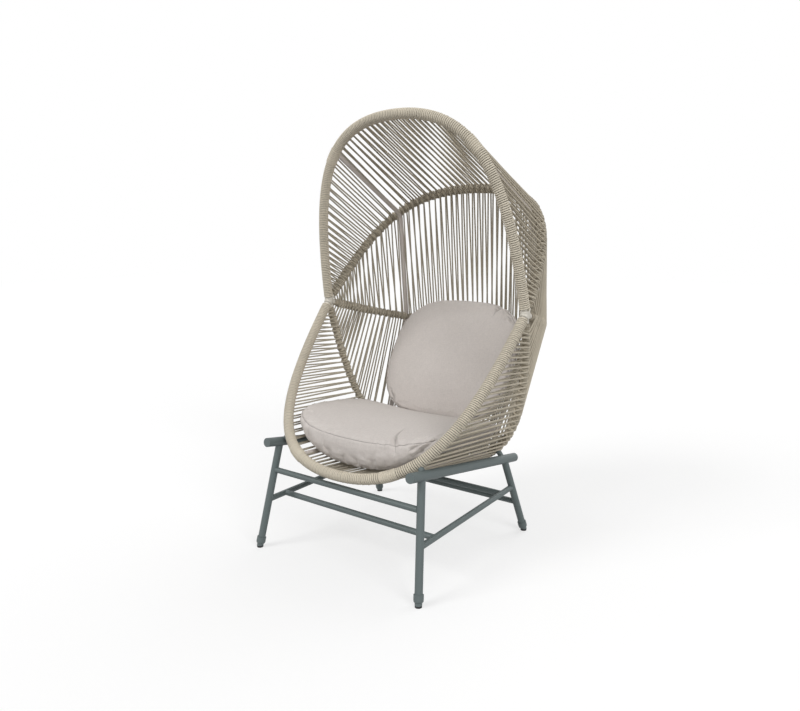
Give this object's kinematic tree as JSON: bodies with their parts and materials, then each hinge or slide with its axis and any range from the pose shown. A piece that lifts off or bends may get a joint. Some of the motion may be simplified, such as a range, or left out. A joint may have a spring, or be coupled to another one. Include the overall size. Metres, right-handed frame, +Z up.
{
  "type": "pod chair",
  "caption": "Hooded pod lounge chair: bent tube hoops strung with cord, cord-wound rims, splayed tube base with stretchers, and loose seat and back cushions.",
  "frame": {"origin": "on the floor, under the middle of the chair's bounding box", "axes": "+Z up, the pod opens towards -Y, +X to the right of someone who looks at the open side"},
  "size_m": [0.8378, 0.8632, 1.4124],
  "materials": {
    "rim_cord": "matt flat cord wound close round the rim tubes, pale sand",
    "cord": "matt round cord, dark taupe",
    "hoop": "tube closely knotted over with the same dark taupe cord",
    "rim_tube": "satin powder coat, taupe, hidden under the rim cord",
    "spine": "satin powder coat, mauve grey",
    "knuckle": "satin powder coat, pale beige",
    "base": "matt powder coat, grey green",
    "glide": "matt black",
    "cushion_fabric": "woven linen-like cloth, light warm grey"
  },
  "bodies": {
    "frame": {"hood_rim": "rim_tube", "bowl_rim": "rim_tube", "rear_arch": "hoop", "waist_hoop": "hoop", "lower_hoop": "hoop", "hood_rim_wrap": "rim_cord", "bowl_rim_wrap": "rim_cord", "knuckle_left": "knuckle", "knuckle_right": "knuckle", "hood_spine_left": "spine", "back_spine_left": "spine", "lumbar_spine_left": "spine", "seat_runner_left": "spine", "hood_spine_right": "spine", "back_spine_right": "spine", "lumbar_spine_right": "spine", "seat_runner_right": "spine", "hood_cords_left": "cord", "hood_cords_centre": "cord", "hood_cords_right": "cord", "back_cords_left": "cord", "back_cords_centre": "cord", "back_cords_right": "cord", "lumbar_cords_left": "cord", "lumbar_cords_centre": "cord", "lumbar_cords_right": "cord", "seat_cords_left": "cord", "seat_cords_centre": "cord", "seat_cords_right": "cord", "rail_left": "base", "rail_front_cap_left": "base", "rail_rear_cap_left": "base", "front_leg_left": "base", "front_foot_collar_left": "base", "front_glide_left": "glide", "rear_leg_left": "base", "rear_foot_collar_left": "base", "rear_glide_left": "glide", "rail_right": "base", "rail_front_cap_right": "base", "rail_rear_cap_right": "base", "front_leg_right": "base", "front_foot_collar_right": "base", "front_glide_right": "glide", "rear_leg_right": "base", "rear_foot_collar_right": "base", "rear_glide_right": "glide", "front_upper_bar": "base", "rear_lower_bar": "base", "side_stretcher_left": "base", "side_stretcher_right": "base", "front_lower_bar": "base", "rear_upper_bar": "base", "front_pod_bracket_left": "base", "rear_pod_bracket_left": "base", "front_pod_bracket_right": "base", "rear_pod_bracket_right": "base"},
    "seat": {"seat_cushion": "cushion_fabric"},
    "back": {"back_cushion": "cushion_fabric"}
  },
  "joints": [
    {"name": "seat_lift_out", "type": "slide", "parent": "frame", "child": "seat", "axis": [0, -0.8676, 0.4973], "range_m": [0, 0.9]},
    {"name": "back_lift_out", "type": "slide", "parent": "seat", "child": "back", "axis": [0, -0.8676, 0.4973], "range_m": [0, 0.9]}
  ]
}
